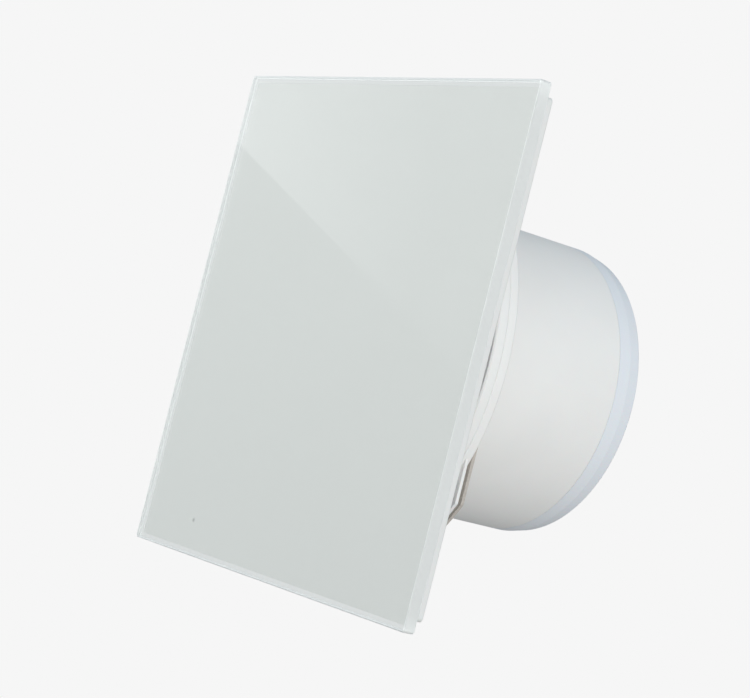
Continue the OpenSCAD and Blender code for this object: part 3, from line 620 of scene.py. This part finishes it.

# %% [markdown]
# ## Finish: the film behind the glass
#
# The pale face of the panel is a coat of paint on the back of clear glass. Paint laid with a roller is even
# to the eye but drifts by a percent or two, and shows a slight orange peel where it is thick. Round the one
# pinhole the paint colour is darker, out to about 0.8 mm.

# %% Paint film
FILM_COLOUR = (0.79, 0.785, 0.762)
PINHOLE = (-50 * MM, 0, -71 * MM)
white_film = bpy.data.materials.new("white_film")
white_film.use_nodes = True
nodes = white_film.node_tree.nodes
links = white_film.node_tree.links
nodes.clear()
paint_frame = nodes.new("NodeFrame")
paint_frame.label = "Coat of paint"
place = nodes.new("ShaderNodeTexCoord")
place.label = "Place on the panel"
drift = nodes.new("ShaderNodeTexNoise")
drift.label = "Drift of the coat"
peel = nodes.new("ShaderNodeTexNoise")
peel.label = "Orange peel"
coat = nodes.new("ShaderNodeMix")
coat.label = "Thin to full coat"
flat = nodes.new("ShaderNodeVectorMath")
flat.label = "Across and up only"
reach = nodes.new("ShaderNodeVectorMath")
reach.label = "Distance from the pinhole"
pinhole_ring = nodes.new("ShaderNodeMapRange")
pinhole_ring.label = "Darker ring ends here"
pinhole_darkening = nodes.new("ShaderNodeMix")
pinhole_darkening.label = "Darker round the pinhole"
rough = nodes.new("ShaderNodeMapRange")
rough.label = "Satin varies"
bump = nodes.new("ShaderNodeBump")
bump.label = "Peel depth"
shader = nodes.new("ShaderNodeBsdfPrincipled")
shader.label = "Paint"
result = nodes.new("ShaderNodeOutputMaterial")
pinhole_frame = nodes.new("NodeFrame")
pinhole_frame.label = "Round the pinhole"
for node in (drift, peel, coat, rough, bump):
    node.parent = paint_frame
for node in (flat, reach, pinhole_ring, pinhole_darkening):
    node.parent = pinhole_frame
column = 0
for node in (place, drift, peel, coat, flat, reach, pinhole_ring, pinhole_darkening, rough, bump, shader, result):
    node.location = (190 * column, -150 * (column % 3))
    column += 1
drift.inputs["Scale"].default_value = 9
drift.inputs["Detail"].default_value = 2
peel.inputs["Scale"].default_value = 800
coat.data_type = "RGBA"
coat.inputs[6].default_value = (*[c * 0.985 for c in FILM_COLOUR], 1)
coat.inputs[7].default_value = (*[c * 1.01 for c in FILM_COLOUR], 1)
flat.operation = "MULTIPLY"
flat.inputs[1].default_value = (1, 0, 1)
reach.operation = "DISTANCE"
reach.inputs[1].default_value = PINHOLE
# The colour is darkened to 0.83 of the paint within 0.7 to 0.9 mm of the pinhole.
pinhole_ring.inputs["From Min"].default_value = 0.7 * MM
pinhole_ring.inputs["From Max"].default_value = 0.9 * MM
pinhole_darkening.data_type = "RGBA"
pinhole_darkening.inputs[6].default_value = (*[c * 0.83 for c in FILM_COLOUR], 1)
rough.inputs["To Min"].default_value = 0.5
rough.inputs["To Max"].default_value = 0.6
bump.inputs["Strength"].default_value = 0.1
bump.inputs["Distance"].default_value = 0.00003
links.new(place.outputs["Object"], drift.inputs["Vector"])
links.new(place.outputs["Object"], peel.inputs["Vector"])
links.new(drift.outputs["Fac"], coat.inputs[0])
links.new(peel.outputs["Fac"], rough.inputs["Value"])
links.new(peel.outputs["Fac"], bump.inputs["Height"])
links.new(place.outputs["Object"], flat.inputs[0])
links.new(flat.outputs["Vector"], reach.inputs[0])
links.new(reach.outputs["Value"], pinhole_ring.inputs["Value"])
links.new(pinhole_ring.outputs["Result"], pinhole_darkening.inputs[0])
links.new(coat.outputs[2], pinhole_darkening.inputs[7])
links.new(pinhole_darkening.outputs[2], shader.inputs["Base Color"])
links.new(rough.outputs["Result"], shader.inputs["Roughness"])
links.new(bump.outputs["Normal"], shader.inputs["Normal"])
links.new(shader.outputs["BSDF"], result.inputs["Surface"])
finish(white_film, "panel_film")

# %% [markdown]
# ## Finish: clear glass
#
# Float glass is smooth on its faces and ground on its edges. The shader is plain refraction; the ground rim
# is found from how far out a point lies. Lamps would leave a black shadow behind refracting glass, so rays
# towards lamps, and the light that the paint behind it scatters, pass it by. Faint smudges show only where
# something bright is mirrored.

# %% Clear glass
RIM_STARTS = panel_half - 0.75 * MM
RIM_FULL = panel_half - 0.55 * MM
clear_glass = bpy.data.materials.new("clear_glass")
clear_glass.use_nodes = True
nodes = clear_glass.node_tree.nodes
links = clear_glass.node_tree.links
nodes.clear()
rim_frame = nodes.new("NodeFrame")
rim_frame.label = "Ground rim"
touch_frame = nodes.new("NodeFrame")
touch_frame.label = "Smudges"
lamp_frame = nodes.new("NodeFrame")
lamp_frame.label = "Lets lamps through"
place = nodes.new("ShaderNodeTexCoord")
place.label = "Place on the panel"
parts = nodes.new("ShaderNodeSeparateXYZ")
parts.label = "Across, deep, up"
across = nodes.new("ShaderNodeMath")
across.label = "Distance across"
upward = nodes.new("ShaderNodeMath")
upward.label = "Distance up"
outward = nodes.new("ShaderNodeMath")
outward.label = "Farther of the two"
ground = nodes.new("ShaderNodeMapRange")
ground.label = "Ground rim starts here"
grit = nodes.new("ShaderNodeTexNoise")
grit.label = "Grinding grit"
smudge = nodes.new("ShaderNodeTexNoise")
smudge.label = "Finger smudges"
wiped = nodes.new("ShaderNodeMapRange")
wiped.label = "Polished to smudged"
frost = nodes.new("ShaderNodeMapRange")
frost.label = "Ground rim is frosted"
rim_rough = nodes.new("ShaderNodeMix")
rim_rough.label = "Rim is rougher"
depth = nodes.new("ShaderNodeMath")
depth.label = "Grit only on the rim"
bump = nodes.new("ShaderNodeBump")
bump.label = "Ground relief"
shader = nodes.new("ShaderNodeBsdfPrincipled")
shader.label = "Glass"
clear = nodes.new("ShaderNodeBsdfTransparent")
clear.label = "Open to lamps"
rays = nodes.new("ShaderNodeLightPath")
rays.label = "Kind of ray"
unbent = nodes.new("ShaderNodeMath")
unbent.label = "Lamps and scattered light"
both = nodes.new("ShaderNodeMixShader")
both.label = "Glass, but not for shadows"
result = nodes.new("ShaderNodeOutputMaterial")
for node in (parts, across, upward, outward, ground, grit, frost, rim_rough, depth, bump):
    node.parent = rim_frame
for node in (smudge, wiped):
    node.parent = touch_frame
for node in (clear, rays, unbent, both):
    node.parent = lamp_frame
column = 0
for node in (place, parts, across, upward, outward, ground, grit, smudge, wiped, frost, rim_rough, depth,
             bump, shader, clear, rays, unbent, both, result):
    node.location = (190 * column, -150 * (column % 3))
    column += 1
across.operation = "ABSOLUTE"
upward.operation = "ABSOLUTE"
outward.operation = "MAXIMUM"
ground.inputs["From Min"].default_value = RIM_STARTS
ground.inputs["From Max"].default_value = RIM_FULL
grit.inputs["Scale"].default_value = 2500
smudge.inputs["Scale"].default_value = 22
smudge.inputs["Detail"].default_value = 5
wiped.inputs["From Min"].default_value = 0.5
wiped.inputs["From Max"].default_value = 0.8
wiped.inputs["To Min"].default_value = 0.0
wiped.inputs["To Max"].default_value = 0.06
rim_rough.data_type = "FLOAT"
rim_rough.inputs[3].default_value = 0.45
frost.inputs["To Min"].default_value = 1
frost.inputs["To Max"].default_value = 0.3
depth.operation = "MULTIPLY"
unbent.operation = "MAXIMUM"
bump.inputs["Strength"].default_value = 0.08
bump.inputs["Distance"].default_value = 0.00002
shader.inputs["Base Color"].default_value = (0.93, 0.955, 0.945, 1)
shader.inputs["IOR"].default_value = 1.52
links.new(place.outputs["Object"], parts.inputs["Vector"])
links.new(parts.outputs["X"], across.inputs[0])
links.new(parts.outputs["Z"], upward.inputs[0])
links.new(across.outputs["Value"], outward.inputs[0])
links.new(upward.outputs["Value"], outward.inputs[1])
links.new(outward.outputs["Value"], ground.inputs["Value"])
links.new(place.outputs["Object"], grit.inputs["Vector"])
links.new(place.outputs["Object"], smudge.inputs["Vector"])
links.new(smudge.outputs["Fac"], wiped.inputs["Value"])
links.new(ground.outputs["Result"], rim_rough.inputs[0])
links.new(wiped.outputs["Result"], rim_rough.inputs[2])
links.new(rim_rough.outputs[0], shader.inputs["Roughness"])
links.new(ground.outputs["Result"], frost.inputs["Value"])
links.new(frost.outputs["Result"], shader.inputs["Transmission Weight"])
links.new(grit.outputs["Fac"], depth.inputs[0])
links.new(ground.outputs["Result"], depth.inputs[1])
links.new(depth.outputs["Value"], bump.inputs["Height"])
links.new(bump.outputs["Normal"], shader.inputs["Normal"])
links.new(rays.outputs["Is Shadow Ray"], unbent.inputs[0])
links.new(rays.outputs["Is Diffuse Ray"], unbent.inputs[1])
links.new(unbent.outputs["Value"], both.inputs["Fac"])
links.new(shader.outputs["BSDF"], both.inputs[1])
links.new(clear.outputs["BSDF"], both.inputs[2])
links.new(both.outputs["Shader"], result.inputs["Surface"])
print("clear_glass ready, ground rim from", round(RIM_STARTS / MM, 2), "mm")

# %% [markdown]
# ## From arrays to a mesh
#
# Every new surface below is a grid of points: rows follow a profile, columns go round. One helper joins the
# neighbours of such a grid into four-sided faces, and another turns points and faces into an object.


# %% Grid helpers
def grid_faces(rows, columns, start=0):
    """Face (i, j) joins point (i, j) to its neighbours; the last column joins the first."""
    i, j = np.meshgrid(np.arange(rows - 1), np.arange(columns), indexing="ij")
    k = (j + 1) % columns
    faces = np.stack([i * columns + j, (i + 1) * columns + j, (i + 1) * columns + k, i * columns + k], -1)
    return (faces.reshape(-1, 4) + start).tolist()


def make_piece(name, points, faces, material, crease=35):
    """Builds an object from arrays, smooth except where faces meet at more than the crease angle."""
    mesh = bpy.data.meshes.new(name)
    mesh.from_pydata(np.asarray(points).tolist(), [], faces)
    mesh.validate()
    mesh.materials.append(material)
    mesh.polygons.foreach_set("use_smooth", np.ones(len(mesh.polygons), bool))
    mesh.set_sharp_from_angle(angle=math.radians(crease))
    piece = bpy.data.objects.new(name, mesh)
    bpy.context.scene.collection.objects.link(piece)
    print(name, "has", len(mesh.vertices), "points and", len(mesh.polygons), "faces")
    return piece


# %% [markdown]
# ## Glass sheet
#
# The panel is cut with small round corners, and both faces have a ground bevel whose own edges are broken.
# A box with a Bevel modifier would treat the corners like the long edges, so the outline and the edge
# profile are worked out apart: the profile says how far a ring lies inside the outline, and how deep. One
# ring lies flat on each face, so that the smooth shading of the bevel stops there and the face stays flat.
# The sheet ends a hair in front of the paint: two surfaces in exactly one place would flicker.


# %% Glass sheet
def rounded_outline(half, radius, steps):
    """Four quarter circles: corner + radius × (cos a, sin a), a running a quarter turn at each corner."""
    quarter = np.linspace(0, np.pi / 2, steps)
    angle = np.concatenate([quarter + k * np.pi / 2 for k in range(4)])
    corner_x = np.repeat([1, -1, -1, 1], steps) * (half - radius)
    corner_z = np.repeat([1, 1, -1, -1], steps) * (half - radius)
    return corner_x + radius * np.cos(angle), corner_z + radius * np.sin(angle)


def edge_profile(thickness, bevel, bow, steps):
    """Inset and depth round one edge: a straight bevel, bowed a little outwards, after one flat ring."""
    t = np.linspace(0, 1, steps)
    bulge = bow * np.sin(np.pi * t)
    # The bevel slopes at 45 degrees, so a bulge square to it moves a point by about 0.7 of itself both ways.
    inset = bevel * (1 - t) - bulge * 0.7
    deep = bevel * t - bulge * 0.7
    front = np.stack([np.maximum(inset, 0), np.maximum(deep, 0)], 1)
    front = np.concatenate([[[front[0, 0] + bevel, 0]], front])
    back = np.stack([front[::-1, 0], thickness - front[::-1, 1]], 1)
    return np.concatenate([front, back])


AIR_GAP = 0.03 * MM
BEVEL = 0.35 * MM
BOW = 0.05 * MM
CORNER_RADIUS = 0.9 * MM
BEVEL_STEPS = 7
CORNER_STEPS = 10
glass_thickness = film_low.y - glass_front - AIR_GAP
profile = edge_profile(glass_thickness, BEVEL, BOW, BEVEL_STEPS)
rings = [rounded_outline(panel_half - inset, CORNER_RADIUS - 0.5 * inset, CORNER_STEPS)
         for inset in profile[:, 0]]
ring_x = np.array([ring[0] for ring in rings])
ring_z = np.array([ring[1] for ring in rings])
ring_y = np.broadcast_to(glass_front + profile[:, 1:2], ring_x.shape)
glass_points = np.stack([ring_x, ring_y, ring_z], -1).reshape(-1, 3)
columns = ring_x.shape[1]
glass_faces = grid_faces(len(profile), columns)
glass_faces.append(list(range(columns)))
glass_faces.append([(len(profile) - 1) * columns + k for k in range(columns - 1, -1, -1)])
glass_sheet = make_piece("glass_sheet", glass_points, glass_faces, clear_glass, crease=25)
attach(glass_sheet, "panel")
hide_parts("glass_panel")

# %% [markdown]
# ## Impeller
#
# The impeller is one moulding: a cup shaped hub with a rounded nose, and seven blades that twist through 28
# degrees from front to back. The hub is a profile turned round the axis. A blade is a thin rounded section
# that slides along the radius, and every section is bent round the hub because its angle grows with depth.


# %% Impeller
BLADES = 7
TWIST = math.radians(28)
BLADE_ROOT = 23.4 * MM
BLADE_TIP = 46.25 * MM
BLADE_FRONT = 1.3 * MM
BLADE_LENGTH = 13.8 * MM
BLADE_THICKNESS = 1.6 * MM
BLADE_ROWS = 12
BLADE_COLUMNS = 28
HUB_COLUMNS = 96
HUB_RADIUS = 24
NOSE_RADIUS = 4
NOSE_STEPS = 13


def turned_shape(profile, columns):
    """Turns a closed profile of (radius, y) round the Y axis: x = r cos a, z = r sin a."""
    angle = np.linspace(0, 2 * np.pi, columns, endpoint=False)
    radius = np.repeat(profile[:, 0:1], columns, 1)
    depth = np.repeat(profile[:, 1:2], columns, 1)
    points = np.stack([radius * np.cos(angle), depth, radius * np.sin(angle)], -1)
    return points.reshape(-1, 3)


def blade_points(start_angle, inner, outer, front, length, thick, rows, columns):
    """Depth goes front to back and back again; angle = start + twist × depth; half thickness ~ sin^0.4."""
    radius = np.linspace(inner, outer, rows)[:, None]
    around = np.linspace(0, 2 * np.pi, columns, endpoint=False)[None, :]
    share = (1 - np.cos(around)) / 2
    offset = 0.5 * thick * np.sign(np.sin(around)) * np.abs(np.sin(around)) ** 0.4
    angle = start_angle + TWIST * share + offset / radius
    flat = 0 * radius
    x = radius * np.cos(angle)
    z = radius * np.sin(angle)
    y = front + length * share + flat
    return np.stack([x, y, z], -1).reshape(-1, 3)


# The outline of the hub is drawn in millimetres, as radius and y: the round nose, then the rest in turn.
hub_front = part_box("impeller")[0].y / MM
nose = np.linspace(np.pi / 2, 0, NOSE_STEPS)
nose_radius = HUB_RADIUS - NOSE_RADIUS + NOSE_RADIUS * np.cos(nose)
nose_depth = hub_front + NOSE_RADIUS - NOSE_RADIUS * np.sin(nose)
nose_profile = np.stack([nose_radius, nose_depth], 1)
hub_rest = [[HUB_RADIUS, 15.7], [23.7, 16], [22.7, 16], [22.4, 15.7], [22.4, 4.2], [21.8, 2.4], [20, 0.8],
            [5.4, 0.8], [5, 1.2], [5, 13.2], [4.7, 13.5], [2.3, 13.5], [2.0, 13.2], [2.0, hub_front + 0.3],
            [2.3, hub_front]]
hub_profile = np.concatenate([nose_profile, np.array(hub_rest)]) * MM
hub = turned_shape(hub_profile, HUB_COLUMNS)
# One row more than the outline has joins its end to its start.
hub_faces = grid_faces(len(hub_profile) + 1, HUB_COLUMNS)
hub_faces = (np.array(hub_faces) % len(hub)).tolist()
impeller_points = [hub]
impeller_faces = hub_faces
count = len(hub)
for blade in range(BLADES):
    wing = blade_points(2 * np.pi * blade / BLADES, BLADE_ROOT, BLADE_TIP, BLADE_FRONT, BLADE_LENGTH,
                        BLADE_THICKNESS, BLADE_ROWS, BLADE_COLUMNS)
    impeller_faces += grid_faces(BLADE_ROWS, BLADE_COLUMNS, count)
    last = count + (BLADE_ROWS - 1) * BLADE_COLUMNS
    # Root and tip are closed by strips that run across the section, from its front to its back.
    for step in range(BLADE_COLUMNS // 2):
        ring_loop = [step, step + 1, BLADE_COLUMNS - step - 1, (BLADE_COLUMNS - step) % BLADE_COLUMNS]
        ring_loop = list(dict.fromkeys(ring_loop))
        impeller_faces.append([count + k for k in ring_loop])
        impeller_faces.append([last + k for k in ring_loop[::-1]])
    impeller_points.append(wing)
    count += len(wing)
impeller = make_piece("impeller_moulding", np.concatenate(impeller_points), impeller_faces, impeller_plastic)
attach(impeller, "rotor")
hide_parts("impeller")

# %% [markdown]
# ## Outward faces
#
# A mesh worked out from formulas can come out turned inside out. Blender can find the outside of a closed
# shell by itself, so both new pieces are passed through that once.

# %% Outward faces
SAME_PLACE = 1e-7
for piece in (glass_sheet, impeller):
    shell = bmesh.new()
    shell.from_mesh(piece.data)
    bmesh.ops.remove_doubles(shell, verts=shell.verts, dist=SAME_PLACE)
    bmesh.ops.recalc_face_normals(shell, faces=shell.faces)
    open_edges = sum(1 for e in shell.edges if len(e.link_faces) != 2)
    shell.to_mesh(piece.data)
    shell.free()
    print(piece.name, "open edges:", open_edges)
